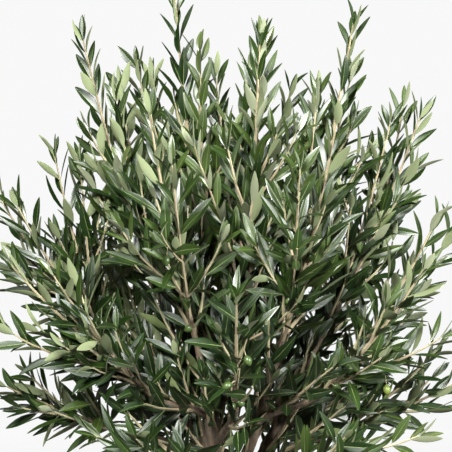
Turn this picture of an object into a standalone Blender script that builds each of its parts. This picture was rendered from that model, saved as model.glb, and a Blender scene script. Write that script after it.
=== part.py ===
"""An olive tree in a plain clay pot.

The pot is filled with soil, and the trunk stands on the soil. The trunk forks into boughs, each bough
ends at a mass of foliage, and each mass is one stem with side shoots, leaves in opposite pairs and a
few olives, fused into one solid. Sizes are in metres, +Z is up, and the origin is the middle of the
pot's flat underside. The view that the tree was built from looks along +Y, with +X to the right.
"""

import math
import random

import bmesh
import bpy
import numpy as np
from mathutils import Matrix, Vector
from mathutils.bvhtree import BVHTree

# Clearance that two neighbouring solids keep
GAP = 0.0003

# Pot: a tapered clay pot with a rolled band round its rim
POT_HEIGHT = 0.36
POT_BASE_RADIUS = 0.145
POT_RIM_RADIUS = 0.205
POT_WALL = 0.015
POT_FLOOR = 0.022
BAND_HEIGHT = 0.052
BAND_PROUD = 0.009
BAND_ROLL = 0.0081
POT_SIDES = 32
POT_EDGE = 0.004

# Soil: it fills the pot to a little below the rim
SOIL_BELOW_RIM = 0.032
SOIL_TOP = POT_HEIGHT - SOIL_BELOW_RIM

# Trunk: a clear stem with a root flare, up to the fork
CLEAR_STEM = 0.50
FORK = SOIL_TOP + CLEAR_STEM
TRUNK_RADIUS = 0.027
FORK_RADIUS = 0.033
FLARE_RADIUS = 0.052
FLARE_HEIGHT = 0.0315
FLARE_FALL = 1.3
FLARE_LOBES = 5
FLARE_LOBE_DEPTH = 0.20
LOBE_HEIGHT = 0.07
OVAL_DEPTH = 0.05
OVAL_TWIST = 5.0
RIB_DEPTH = 0.03
RIB_TWIST = 7.0
TRUNK_TAPER = 0.06
SWELL_STARTS = 0.75
TRUNK_BEND = 0.014
TRUNK_SIDE_BEND = 0.6
TRUNK_SIDES = 13
STEM_RINGS = 12
RING_CROWDING = 1.5
HEAD_ANGLES = (35, 62, 80)
HEAD_HEIGHT = 0.7

# Boughs: how thick a limb is where it leaves the trunk or another bough, and at its tip
MAIN_BOUGH_RADIUS = 0.0160
SIDE_BOUGH_RADIUS = 0.0098
BOUGH_TIP_RADIUS = 0.0062
BOUGH_TAPER = 0.8
BOUGH_SIDES = 6
BOUGH_RINGS = 6
BOUGH_SPREAD = math.radians(17)
BOUGH_FOLLOWS_PARENT = 0.45

# A line runs from the crown's heart to each mass's tip, and turns up towards the sky on its way.
# The bough ends, and the mass begins, at this share of the line.
HEART_ABOVE_FORK = 0.05
LINE_BOW_OUT = 0.60
LINE_BOW_UP = 0.36
MASS_STARTS = 0.42
MASS_CENTRE = 0.66
LEADER_ENDS = 0.96

# Foliage: each mass is a leading shoot with side shoots in opposite pairs, and leaves in opposite pairs
STEM_RADIUS = 0.0052
SHOOT_RADIUS = 0.0036
SHOOT_TIP_RADIUS = 0.0017
SHOOT_STEP = 0.10
SIDE_SHOOT_SPACING = 0.135
SIDE_SHOOTS_FROM = 0.05
SIDE_SHOOTS_TO = 0.70
SIDE_SHOOT_ANGLE = math.radians(42)
ANGLE_RANGE = (0.85, 1.15)
SIDE_SHOOT_SWING = 0.35
SIDE_SHOOT_LENGTH = 0.60
LENGTH_RANGE = (0.9, 1.3)
SHORTEST_SHOOT = 0.09
SHOOT_LIFT = 0.55
LIFT_TO_SKY = 0.5
LEAF_LENGTH = 0.128
LEAF_WIDTH = 0.038
LEAF_THICKNESS = 0.0034
LEAF_FOLD = 0.08
LEAF_WIDEST = 0.47
LEAF_DROOP = 0.04
LEAF_RIDGE = 0.02
LEAF_SHRINK = 0.28
LEAF_SPACING = 0.074
FIRST_LEAF = 0.035
FIRST_PAIR = 0.35
FIRST_PAIR_TURN = 0.6
LEAF_ANGLE_LOW = math.radians(52)
LEAF_ANGLE_TIP = math.radians(24)
LEAF_SHIFTS = (0.0, 0.45, -0.45, 0.9, -0.9, 1.4, -1.4)
PAIR_STAGGER = 0.004
END_LEAF_SIZE = 0.62
END_LEAF_SUNK = 0.008
SPACE_MARGIN = 0.0012
LIMB_MARGIN = 0.0035

# Fruit: an olive on a short stalk
OLIVE_LENGTH = 0.024
OLIVE_RADIUS = 0.0085
OLIVE_STALK = 0.016
STALK_RADIUS = 0.0014
STALK_ANGLE = math.radians(75)
STALK_HANG = 1.2
OLIVE_PLACE = 0.42

# The crown, seen from the front: each row is one mass, with the bough that carries it.
# Its leading tip: bearing in degrees from +X towards +Y, reach from the trunk's axis, height over the fork.
# Its bough: what it leaves, and where, as a share of that limb's length.
CROWN = {
    "top_left": (172, 0.131, 1.047, "trunk", 1.00),
    "shoulder_left": (184, 0.335, 0.987, "trunk", 0.97),
    "shoulder_right": (356, 0.406, 0.811, "trunk", 0.93),
    "shoulder_back_left": (126, 0.330, 0.930, "trunk", 0.95),
    "shoulder_front_left": (238, 0.330, 0.800, "trunk", 0.91),
    "shoulder_front_right": (306, 0.350, 0.790, "trunk", 0.96),
    "top_right": (4, 0.264, 1.028, "shoulder_right", 0.40),
    "top_front": (288, 0.165, 0.960, "top_left", 0.45),
    "top_back": (80, 0.170, 0.940, "top_left", 0.62),
    "shoulder_back_right": (54, 0.330, 0.890, "shoulder_back_left", 0.38),
    "side_left": (180, 0.520, 0.633, "shoulder_left", 0.40),
    "side_left_front": (222, 0.490, 0.470, "shoulder_front_left", 0.55),
    "side_front": (270, 0.480, 0.430, "shoulder_front_left", 0.33),
    "side_right_front": (322, 0.480, 0.480, "shoulder_front_right", 0.50),
    "side_right": (3, 0.490, 0.560, "shoulder_right", 0.62),
    "side_right_back": (42, 0.480, 0.560, "shoulder_back_right", 0.55),
    "side_back": (88, 0.490, 0.520, "shoulder_back_left", 0.66),
    "side_left_back": (136, 0.490, 0.560, "shoulder_left", 0.62),
    "low_left": (190, 0.500, 0.217, "shoulder_left", 0.18),
    "low_front_left": (243, 0.460, 0.110, "shoulder_front_left", 0.14),
    "low_front_right": (301, 0.470, 0.110, "shoulder_front_right", 0.20),
    "low_right": (352, 0.485, 0.225, "shoulder_right", 0.16),
    "low_back_right": (48, 0.470, 0.190, "shoulder_back_right", 0.22),
    "low_back_left": (118, 0.470, 0.150, "shoulder_back_left", 0.16),
}

# Olives show on these masses, on the numbered side shoots
FRUITING = {
    "side_front": (1, 2),
    "shoulder_front_right": (0, 3),
    "low_front_right": (0, 1),
    "side_right_front": (2,),
    "low_front_left": (1,),
    "shoulder_front_left": (2,),
    "side_back": (0,),
}

# Colours, as linear RGB, with roughness
CLAY = ((0.46, 0.20, 0.11), 0.85)
SOIL = ((0.045, 0.030, 0.021), 0.95)
BARK = ((0.21, 0.155, 0.105), 0.90)
FOLIAGE = ((0.085, 0.125, 0.062), 0.55)


def clear_scene():
    for item in list(bpy.data.objects):
        bpy.data.objects.remove(item, do_unlink=True)


def material(name, finish):
    colour, roughness = finish
    made = bpy.data.materials.get(name) or bpy.data.materials.new(name)
    made.use_nodes = True
    shader = made.node_tree.nodes["Principled BSDF"]
    shader.inputs["Base Color"].default_value = (*colour, 1.0)
    shader.inputs["Roughness"].default_value = roughness
    shader.inputs["Metallic"].default_value = 0.0
    return made


def mesh_object(name, corners, faces, finish):
    """A new object from a list of corners and a list of faces, linked to the scene."""
    mesh = bpy.data.meshes.new(name)
    mesh.from_pydata([tuple(corner) for corner in corners], [], faces)
    mesh.update()
    made = bpy.data.objects.new(name, mesh)
    bpy.context.scene.collection.objects.link(made)
    mesh.materials.append(material(*finish))
    return made


# Curves


def upright(bearing_degrees, radius, height):
    bearing = math.radians(bearing_degrees)
    return Vector((radius * math.cos(bearing), radius * math.sin(bearing), height))


def crown_line(name, share):
    """A point of the bowed line from the crown's heart to a mass's tip."""
    bearing, reach, rise = CROWN[name][:3]
    heart = crown_heart()
    tip = upright(bearing, reach, FORK + rise)
    climb = rise - HEART_ABOVE_FORK
    bow = heart + upright(bearing, LINE_BOW_OUT * reach, LINE_BOW_UP * climb)
    rest = 1.0 - share
    return heart * rest * rest + bow * 2.0 * rest * share + tip * share * share


def crown_line_direction(name, share):
    step = 0.01
    return (crown_line(name, share + step) - crown_line(name, share - step)).normalized()


def hermite(start, start_way, end, end_way, share):
    """A point of the smooth curve that leaves start along start_way and reaches end along end_way."""
    span = (end - start).length
    square = share * share
    cube = square * share
    return (
        start * (2 * cube - 3 * square + 1)
        + start_way * (span * (cube - 2 * square + share))
        + end * (3 * square - 2 * cube)
        + end_way * (span * (cube - square))
    )


def trunk_point(share):
    """A point of the trunk's axis, which leans and bends back over its foot."""
    swing = TRUNK_BEND * math.sin(math.pi * 1.5 * share)
    back = -TRUNK_SIDE_BEND * swing * share
    return Vector((swing, back, SOIL_TOP + GAP + share * (CLEAR_STEM - GAP)))


def trunk_radius(share):
    height = share * CLEAR_STEM
    flare = (FLARE_RADIUS - TRUNK_RADIUS) * math.exp(-((height / FLARE_HEIGHT) ** FLARE_FALL))
    swollen = max(0.0, (share - SWELL_STARTS) / (1.0 - SWELL_STARTS)) ** 2
    swell = (FORK_RADIUS - TRUNK_RADIUS) * swollen
    return TRUNK_RADIUS * (1.0 + TRUNK_TAPER * (1.0 - share)) + flare + swell


# Swept limbs


def rings_to_mesh(rings):
    """Corners and faces of a closed skin over rings of corners, with flat ends."""
    sides = len(rings[0])
    corners = [corner for ring in rings for corner in ring]
    faces = []
    for ring in range(len(rings) - 1):
        for side in range(sides):
            low, high = ring * sides, (ring + 1) * sides
            following = (side + 1) % sides
            faces.append((low + side, low + following, high + following, high + side))
    faces.append(tuple(reversed(range(sides))))
    faces.append(tuple(range(len(corners) - sides, len(corners))))
    return corners, faces


def swept_rings(points, radii, sides, fluting=None, first_way=None, last_way=None):
    """Rings of corners round a line of points, turned as little as they can be from one to the next."""
    ways = []
    for index in range(len(points)):
        before, after = points[max(0, index - 1)], points[min(len(points) - 1, index + 1)]
        ways.append((after - before).normalized())
    ways[0] = first_way or ways[0]
    ways[-1] = last_way or ways[-1]
    across = ways[0].orthogonal().normalized()
    rings = []
    for index, (point, radius, way) in enumerate(zip(points, radii, ways)):
        if index:
            across.rotate(ways[index - 1].rotation_difference(way))
        across = (across - way * across.dot(way)).normalized()
        beside = way.cross(across)
        ring = []
        for side in range(sides):
            angle = 2 * math.pi * side / sides
            wide = radius * (fluting(index, angle) if fluting else 1.0)
            ring.append(point + (across * math.cos(angle) + beside * math.sin(angle)) * wide)
        rings.append(ring)
    return rings


def grown(points, radii, by):
    """The same limb made thicker and longer by a clearance, to cut its neighbours with."""
    first = (points[0] - points[1]).normalized() * by
    last = (points[-1] - points[-2]).normalized() * by
    return [points[0] + first, *points[1:-1], points[-1] + last], [radius + by for radius in radii]


def trunk_fluting(index, angle):
    """How far a ring's corner stands out: lobes at the foot, and an oval and three ribs that twist."""
    share = index / (STEM_RINGS + len(HEAD_ANGLES) - 1)
    flare = math.exp(-share * CLEAR_STEM / LOBE_HEIGHT)
    lobes = FLARE_LOBE_DEPTH * flare * math.cos(FLARE_LOBES * angle)
    oval = OVAL_DEPTH * math.cos(2 * angle + OVAL_TWIST * share)
    ribs = RIB_DEPTH * math.cos(3 * angle - RIB_TWIST * share)
    return 1.0 + lobes + oval + ribs


def trunk_line():
    """Points and radii of the trunk. Its rings lie closer at the flare, and its head is rounded."""
    shares = [(index / (STEM_RINGS - 1)) ** RING_CROWDING for index in range(STEM_RINGS)]
    points = [trunk_point(share) for share in shares]
    radii = [trunk_radius(share) for share in shares]
    top = points[-1]
    for angle in HEAD_ANGLES:
        bend = math.radians(angle)
        points.append(top + Vector((0, 0, HEAD_HEIGHT * FORK_RADIUS * math.sin(bend))))
        radii.append(FORK_RADIUS * math.cos(bend))
    return points, radii


def bough_line(name):
    """Points and radii of the bough that carries a mass, from inside its parent to the mass's start."""
    bearing, _, _, parent, leaves_at = CROWN[name]
    end = crown_line(name, MASS_STARTS)
    end_way = crown_line_direction(name, MASS_STARTS)
    if parent == "trunk":
        start = trunk_point(leaves_at)
        chord = end - start
        lean = math.atan2(math.hypot(chord.x, chord.y), chord.z) + BOUGH_SPREAD
        start_way = upright(bearing, math.sin(lean), math.cos(lean))
        thick = MAIN_BOUGH_RADIUS
    else:
        points, _ = bough_line(parent)
        place = leaves_at * (len(points) - 1)
        before = min(int(place), len(points) - 2)
        start = points[before].lerp(points[before + 1], place - before)
        parent_way = (points[before + 1] - points[before]).normalized()
        start_way = (parent_way * BOUGH_FOLLOWS_PARENT + (end - start).normalized()).normalized()
        thick = SIDE_BOUGH_RADIUS
    shares = [index / (BOUGH_RINGS - 1) for index in range(BOUGH_RINGS)]
    line = [hermite(start, start_way, end, end_way, share) for share in shares]
    radii = [thick + (BOUGH_TIP_RADIUS - thick) * share**BOUGH_TAPER for share in shares]
    return line, radii


# Booleans


def evaluated_copy(item):
    """Replaces an object's mesh by what its modifiers make of it, and clears them."""
    bpy.context.view_layer.update()
    graph = bpy.context.evaluated_depsgraph_get()
    mesh = bpy.data.meshes.new_from_object(item.evaluated_get(graph))
    item.modifiers.clear()
    item.data = mesh


def fused(item, others, operation, solver):
    """One Boolean of an object with a collection of others, applied, and the others removed."""
    group = bpy.data.collections.new(item.name + "_others")
    bpy.context.scene.collection.children.link(group)
    for other in others:
        bpy.context.scene.collection.objects.unlink(other)
        group.objects.link(other)
    boolean = item.modifiers.new("Join", "BOOLEAN")
    boolean.operand_type = "COLLECTION"
    boolean.collection = group
    boolean.operation = operation
    boolean.solver = solver
    evaluated_copy(item)
    for other in others:
        bpy.data.objects.remove(other, do_unlink=True)
    bpy.data.collections.remove(group)


def islands(work):
    """The separate surfaces of a mesh, as lists of faces."""
    left = set(work.faces)
    found = []
    while left:
        surface = [left.pop()]
        for face in surface:
            for edge in face.edges:
                for neighbour in edge.link_faces:
                    if neighbour in left:
                        left.remove(neighbour)
                        surface.append(neighbour)
        found.append(surface)
    return found


def signed_volume(faces):
    return sum(
        face.verts[0].co.dot(face.verts[1].co.cross(face.verts[2].co)) / 6.0 for face in faces
    )


def keep_largest_body(item):
    """Fills any hollow that fusing sealed, and drops any loose scrap: only the largest surface stays."""
    work = bmesh.new()
    work.from_mesh(item.data)
    bmesh.ops.triangulate(work, faces=work.faces)
    surfaces = sorted(islands(work), key=signed_volume)
    for surface in surfaces[:-1]:
        bmesh.ops.delete(work, geom=surface, context="FACES")
    work.to_mesh(item.data)
    work.free()


# Pot and soil


def turned(name, profile, finish):
    """A solid of revolution. The profile is (radius, height) points that start and end on the axis."""
    corners, rings = [], []
    for radius, height in profile:
        if radius == 0.0:
            rings.append([len(corners)])
            corners.append((0.0, 0.0, height))
            continue
        rings.append(range(len(corners), len(corners) + POT_SIDES))
        for side in range(POT_SIDES):
            angle = 2 * math.pi * side / POT_SIDES
            corners.append((radius * math.cos(angle), radius * math.sin(angle), height))
    faces = []
    for low, high in zip(rings, rings[1:]):
        for side in range(POT_SIDES):
            following = (side + 1) % POT_SIDES
            if len(low) == 1:
                faces.append((low[0], high[following], high[side]))
            elif len(high) == 1:
                faces.append((low[side], low[following], high[0]))
            else:
                faces.append((low[side], low[following], high[following], high[side]))
    made = mesh_object(name, corners, faces, finish)
    made.data.shade_smooth()
    made.data.set_sharp_from_angle(angle=math.radians(35))
    return made


def pot_radius(height):
    """The pot's outer radius under its band."""
    return POT_BASE_RADIUS + (POT_RIM_RADIUS - POT_BASE_RADIUS) * height / POT_HEIGHT


def make_pot():
    band_foot = POT_HEIGHT - BAND_HEIGHT
    rolled = [
        (
            POT_RIM_RADIUS + BAND_PROUD - BAND_ROLL * (1 - math.cos(math.radians(angle))),
            POT_HEIGHT - BAND_ROLL * (1 - math.sin(math.radians(angle))),
        )
        for angle in (0, 30, 60, 90)
    ]
    outside = [
        (0.0, 0.0),
        (POT_BASE_RADIUS - POT_EDGE, 0.0),
        (pot_radius(POT_EDGE), POT_EDGE),
        (pot_radius(band_foot), band_foot),
        (pot_radius(band_foot) + BAND_PROUD, band_foot + 0.5 * BAND_PROUD),
    ]
    inside = [
        (POT_RIM_RADIUS - POT_WALL + POT_EDGE, POT_HEIGHT),
        (pot_radius(POT_HEIGHT - POT_EDGE) - POT_WALL, POT_HEIGHT - POT_EDGE),
        (pot_radius(POT_FLOOR) - POT_WALL, POT_FLOOR),
        (0.0, POT_FLOOR),
    ]
    return turned("pot", outside + rolled + inside, ("clay", CLAY))


def make_soil():
    foot = POT_FLOOR + GAP
    side_gap = POT_WALL + 1.5 * GAP
    profile = [
        (0.0, foot),
        (pot_radius(foot) - side_gap, foot),
        (pot_radius(SOIL_TOP) - side_gap, SOIL_TOP),
        (0.0, SOIL_TOP),
    ]
    return turned("soil", profile, ("soil", SOIL))


# Trunk and boughs


def make_trunk():
    points, radii = trunk_line()
    rings = swept_rings(points, radii, TRUNK_SIDES, trunk_fluting)
    for corner in rings[0]:
        corner.z = SOIL_TOP + GAP
    corners, faces = rings_to_mesh(rings)
    made = mesh_object("trunk", corners, faces, ("bark", BARK))
    made.data.shade_smooth()
    return made


def make_cutter(points, radii, sides, fluting=None):
    corners, faces = rings_to_mesh(swept_rings(*grown(points, radii, GAP), sides, fluting))
    return mesh_object("cutter", corners, faces, ("bark", BARK))


def boxes_meet(first, second, margin):
    return all(
        min(p[axis] for p in first) - margin < max(p[axis] for p in second)
        and min(p[axis] for p in second) - margin < max(p[axis] for p in first)
        for axis in range(3)
    )


def make_boughs():
    """Each bough is swept from inside its parent, then cut clear of the trunk and the earlier boughs."""
    trunk_points, trunk_radii = trunk_line()
    earlier = []
    for name in CROWN:
        points, radii = bough_line(name)
        end_way = crown_line_direction(name, MASS_STARTS)
        skin = rings_to_mesh(swept_rings(points, radii, BOUGH_SIDES, last_way=end_way))
        bough = mesh_object("bough_" + name, *skin, ("bark", BARK))
        cutters = [make_cutter(trunk_points, trunk_radii, TRUNK_SIDES, trunk_fluting)]
        for other_points, other_radii in earlier:
            if boxes_meet(points, other_points, 2 * MAIN_BOUGH_RADIUS):
                cutters.append(make_cutter(other_points, other_radii, BOUGH_SIDES))
        fused(bough, cutters, "DIFFERENCE", "EXACT")
        keep_largest_body(bough)
        bough.data.shade_smooth()
        bough.data.set_sharp_from_angle(angle=math.radians(50))
        earlier.append((points, radii))


# Each mass's own space


def crown_heart():
    return Vector((0.0, 0.0, FORK + HEART_ABOVE_FORK))


def mass_directions():
    """Each mass's direction from the crown's heart."""
    return {name: (crown_line(name, MASS_CENTRE) - crown_heart()).normalized() for name in CROWN}


def in_own_space(name, directions, points, margin):
    """Whether points lie nearer to the mass's own direction than to any other, by a margin.

    The spaces are cones with flat sides that meet at the crown's heart, so what has all its corners
    in one of them lies wholly in it.
    """
    heart = crown_heart()
    for other, direction in directions.items():
        if other == name:
            continue
        towards = (direction - directions[name]).normalized()
        if any((point - heart).dot(towards) > -margin for point in points):
            return False
    return True


def limb_segments():
    """All limbs as straight pieces: starts, ends and radii."""
    lines = [trunk_line()] + [bough_line(name) for name in CROWN]
    starts, ends, thick = [], [], []
    for points, radii in lines:
        for index in range(len(points) - 1):
            starts.append(points[index])
            ends.append(points[index + 1])
            thick.append(max(radii[index], radii[index + 1]))
    return np.array(starts), np.array(ends), np.array(thick)


def clear_of_limbs(points, segments, margin):
    """Whether points keep a margin to every limb's surface."""
    starts, ends, thick = segments
    places = np.array(points)[:, None, :]
    along = ends - starts
    share = ((places - starts) * along).sum(2) / (along * along).sum(1)
    nearest = starts + np.clip(share, 0, 1)[:, :, None] * along
    distance = np.linalg.norm(places - nearest, axis=2) - thick
    return bool((distance > margin).all())


# Shoots, leaves and fruit


class Shoot:
    """A shoot's line of points, about SHOOT_STEP apart, and how thick it is at each."""

    def __init__(self, points, thick):
        self.points = points
        self.lengths = [0.0]
        for before, after in zip(points, points[1:]):
            self.lengths.append(self.lengths[-1] + (after - before).length)
        self.length = self.lengths[-1]
        self.radii = [
            thick + (SHOOT_TIP_RADIUS - thick) * length / self.length for length in self.lengths
        ]

    def at(self, distance):
        """The point and direction at a distance along the shoot."""
        for index in range(len(self.points) - 1):
            if distance <= self.lengths[index + 1] or index == len(self.points) - 2:
                span = self.lengths[index + 1] - self.lengths[index]
                share = (distance - self.lengths[index]) / span
                way = self.points[index + 1] - self.points[index]
                return self.points[index] + way * share, way.normalized()


def leading_shoot(name):
    """The mass's stem: it begins at the bough's tip, GAP clear of it, and nears the mass's tip."""
    start = crown_line(name, MASS_STARTS)
    steps = max(3, round((crown_line(name, LEADER_ENDS) - start).length / SHOOT_STEP))
    shares = [MASS_STARTS + (LEADER_ENDS - MASS_STARTS) * step / steps for step in range(steps + 1)]
    points = [crown_line(name, share) for share in shares]
    points[0] = start + crown_line_direction(name, MASS_STARTS) * GAP
    return Shoot(points, STEM_RADIUS)


def side_way(way, turn, angle):
    """A direction that leaves way by an angle. Turn 0 lies level, and turn 90 degrees points up."""
    level = Vector((0, 0, 1)).cross(way)
    if level.length < 0.2:
        level = way.orthogonal()
    level.normalize()
    beside = level * math.cos(turn) + way.cross(level) * -math.sin(turn)
    return (way * math.cos(angle) + beside * math.sin(angle)).normalized()


def side_shoot_pairs(leader):
    span = leader.length * (SIDE_SHOOTS_TO - SIDE_SHOOTS_FROM)
    return 1 + round(span / SIDE_SHOOT_SPACING)


def side_shoot_share(leader, pair):
    """How far up its leader a pair of side shoots stands."""
    gaps = side_shoot_pairs(leader) - 1
    return SIDE_SHOOTS_FROM + (SIDE_SHOOTS_TO - SIDE_SHOOTS_FROM) * pair / gaps


def side_shoot(name, leader, pair, side):
    """One of an opposite pair of side shoots. Each pair is turned a quarter from the last."""
    draw = random.Random(f"{name} {pair} {side}")
    share = side_shoot_share(leader, pair)
    start, way = leader.at(leader.length * share)
    turn = math.pi * side + math.pi / 2 * pair + draw.uniform(-SIDE_SHOOT_SWING, SIDE_SHOOT_SWING)
    angle = SIDE_SHOOT_ANGLE * draw.uniform(*ANGLE_RANGE)
    left = leader.length * (1 - share)
    length = max(SHORTEST_SHOOT, left * SIDE_SHOOT_LENGTH * draw.uniform(*LENGTH_RANGE))
    first_way = side_way(way, turn, angle)
    end_way = (first_way + (way + Vector((0, 0, LIFT_TO_SKY))) * SHOOT_LIFT).normalized()
    steps = max(2, round(length / SHOOT_STEP))
    points = [start]
    for step in range(steps):
        heading = first_way.lerp(end_way, (step + 0.5) / steps).normalized()
        points.append(points[-1] + heading * (length / steps))
    return Shoot(points, SHOOT_RADIUS)


def leaf_corners(root, way, face, size):
    """Five corners of a leaf of a share of the full size: its root, tip, two edges and midrib's back."""
    length = LEAF_LENGTH * size
    width = LEAF_WIDTH * size
    across = way.cross(face).normalized()
    up = across.cross(way).normalized()
    middle = root + way * (LEAF_WIDEST * length)
    return [
        root,
        root + way * length - up * (LEAF_DROOP * length),
        middle - across * width / 2 + up * LEAF_FOLD * width,
        middle + across * width / 2 + up * LEAF_FOLD * width,
        middle - up * (LEAF_THICKNESS + LEAF_RIDGE * length),
    ]


# The upper side is folded along the line from root to tip, and the under side has a ridge there
LEAF_FACES = [
    (0, 1, 2),
    (0, 3, 1),
    (0, 2, 4),
    (0, 4, 3),
    (1, 4, 2),
    (1, 3, 4),
]


def leaf_samples(corners):
    """Points spread over a leaf, to test what it comes near."""
    root, tip, left, right = corners[:4]
    spread = [root.lerp(tip, share) for share in (0.25, 0.5, 0.75)]
    for edge in (left, right):
        for share in (0.35, 0.7):
            spread.append(root.lerp(edge, share))
            spread.append(tip.lerp(edge, share))
    return spread + [root, tip, left, right]


def crosses(piece, earlier):
    """Whether a closed piece, as corners and faces, meets any of the earlier ones."""
    tree = BVHTree.FromPolygons(*piece)
    return any(tree.overlap(other) for other in earlier)


class Mass:
    """One mass of foliage while it grows: its space, and the pieces that it already holds."""

    def __init__(self, name, directions, segments):
        self.name = name
        self.directions = directions
        self.segments = segments
        self.pieces = []
        self.trees = []

    def has_room(self, points, margin):
        """Whether points keep to the mass's space and clear of every limb."""
        if not in_own_space(self.name, self.directions, points, SPACE_MARGIN):
            return False
        return clear_of_limbs(points, self.segments, margin)

    def add(self, piece):
        self.pieces.append(piece)
        self.trees.append(BVHTree.FromPolygons(*piece))

    def add_leaf(self, corners, own_tree):
        """Adds a leaf where there is room for it and it crosses nothing but its own shoot."""
        if not self.has_room(leaf_samples(corners), LIMB_MARGIN):
            return False
        others = [tree for tree in self.trees if tree is not own_tree]
        if crosses((corners, LEAF_FACES), others):
            return False
        self.add((corners, LEAF_FACES))
        return True

    def add_leaves(self, shoot, own_tree, first):
        """Opposite pairs of leaves up a shoot, each a quarter turn from the last, and one at its tip."""
        pairs = max(1, round((shoot.length - first) / LEAF_SPACING))
        for pair in range(pairs):
            for side in range(2):
                distance = first + (shoot.length - first) * (pair + FIRST_PAIR) / pairs
                distance += side * PAIR_STAGGER
                share = distance / shoot.length
                size = 1.0 - LEAF_SHRINK * share**3
                angle = LEAF_ANGLE_LOW + (LEAF_ANGLE_TIP - LEAF_ANGLE_LOW) * share
                root, way = shoot.at(distance)
                turn = math.pi * side + math.pi / 2 * pair + FIRST_PAIR_TURN
                for shift in LEAF_SHIFTS:
                    leaf_way = side_way(way, turn + shift, angle)
                    face = (way - leaf_way * way.dot(leaf_way)).normalized()
                    if self.add_leaf(leaf_corners(root, leaf_way, face, size), own_tree):
                        break
        tip, way = shoot.at(shoot.length - END_LEAF_SUNK)
        face = way.cross(Vector((0, 1, 0))).normalized().cross(way)
        self.add_leaf(leaf_corners(tip, way, face, END_LEAF_SIZE), own_tree)


def add_olive(mass, shoot, own_tree):
    """A stalk and an olive that hang from a side shoot, where there is room for them."""
    root, way = shoot.at(shoot.length * OLIVE_PLACE)
    hang = (side_way(way, -math.pi / 2, STALK_ANGLE) + Vector((0, 0, -STALK_HANG))).normalized()
    centre = root + hang * (OLIVE_STALK + OLIVE_LENGTH / 2)
    turn = Vector((0, 0, 1)).rotation_difference(hang).to_matrix().to_4x4()
    stretch = Matrix.Diagonal((1.0, 1.0, OLIVE_LENGTH / (2 * OLIVE_RADIUS), 1.0))
    work = bmesh.new()
    bmesh.ops.create_uvsphere(work, u_segments=6, v_segments=3, radius=OLIVE_RADIUS)
    work.transform(Matrix.Translation(centre) @ turn @ stretch)
    corners = [vert.co.copy() for vert in work.verts]
    fruit = (corners, [tuple(vert.index for vert in face.verts) for face in work.faces])
    work.free()
    others = [tree for tree in mass.trees if tree is not own_tree]
    if not mass.has_room(corners, LIMB_MARGIN) or crosses(fruit, others):
        return
    mass.add(rings_to_mesh(swept_rings([root, centre], [STALK_RADIUS] * 2, 3)))
    mass.add(fruit)


def grown_mass(name, directions, segments):
    """A mass with its stem first, then its side shoots, leaves and olives."""
    mass = Mass(name, directions, segments)
    leader = leading_shoot(name)
    start_way = crown_line_direction(name, MASS_STARTS)
    mass.add(rings_to_mesh(swept_rings(leader.points, leader.radii, 3, first_way=start_way)))
    shoots = [(leader, mass.trees[0])]
    for pair in range(side_shoot_pairs(leader)):
        for side in range(2):
            shoot = side_shoot(name, leader, pair, side)
            piece = rings_to_mesh(swept_rings(shoot.points, shoot.radii, 3))
            if not mass.has_room(shoot.points[1:], SHOOT_RADIUS + LIMB_MARGIN):
                continue
            if crosses(piece, mass.trees[1:]):
                continue
            mass.add(piece)
            shoots.append((shoot, mass.trees[-1]))
    for number in FRUITING.get(name, ()):
        if number + 1 < len(shoots):
            add_olive(mass, *shoots[number + 1])
    for shoot, tree in shoots:
        mass.add_leaves(shoot, tree, FIRST_LEAF)
    return mass


def make_masses():
    directions = mass_directions()
    segments = limb_segments()
    for name in CROWN:
        grown_pieces = grown_mass(name, directions, segments).pieces
        pieces = [mesh_object("piece", *piece, ("foliage", FOLIAGE)) for piece in grown_pieces]
        mass = pieces.pop(0)
        mass.name = "foliage_" + name
        fused(mass, pieces, "UNION", "EXACT")
        keep_largest_body(mass)


def main():
    clear_scene()
    make_pot()
    make_soil()
    make_trunk()
    make_boughs()
    make_masses()


main()
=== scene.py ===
"""The looks of an olive tree in a plain clay pot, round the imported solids.

The sizes and the rule by which the tree grows are those of the solids' source, written again here and
carried to finer twigs. Sizes are in metres, +Z is up, and the view looks along +Y with +X to the right.
"""

import math
import random

import bpy
import numpy as np
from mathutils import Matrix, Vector, noise


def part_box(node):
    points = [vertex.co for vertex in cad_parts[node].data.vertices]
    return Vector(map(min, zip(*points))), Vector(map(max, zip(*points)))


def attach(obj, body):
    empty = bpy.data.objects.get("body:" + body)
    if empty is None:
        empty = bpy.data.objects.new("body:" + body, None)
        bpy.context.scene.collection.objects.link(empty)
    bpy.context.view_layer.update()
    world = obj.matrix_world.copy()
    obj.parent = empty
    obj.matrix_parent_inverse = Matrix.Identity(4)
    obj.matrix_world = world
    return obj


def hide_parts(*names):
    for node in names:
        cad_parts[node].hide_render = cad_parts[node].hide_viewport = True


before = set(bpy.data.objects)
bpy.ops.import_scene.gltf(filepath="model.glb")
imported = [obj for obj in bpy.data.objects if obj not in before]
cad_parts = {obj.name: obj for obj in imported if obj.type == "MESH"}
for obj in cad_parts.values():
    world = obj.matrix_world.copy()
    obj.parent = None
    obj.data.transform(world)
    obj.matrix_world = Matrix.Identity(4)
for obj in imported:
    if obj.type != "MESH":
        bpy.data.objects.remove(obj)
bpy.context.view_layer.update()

# Pot and soil, as in the solids
POT_HEIGHT = 0.36
POT_BASE_RADIUS = 0.145
POT_RIM_RADIUS = 0.205
POT_WALL = 0.015
POT_FLOOR = 0.022
BAND_HEIGHT = 0.052
BAND_PROUD = 0.009
BAND_ROLL = 0.0081
POT_EDGE = 0.004
SOIL_BELOW_RIM = 0.032
SOIL_TOP = POT_HEIGHT - SOIL_BELOW_RIM
GAP = 0.0003

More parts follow.
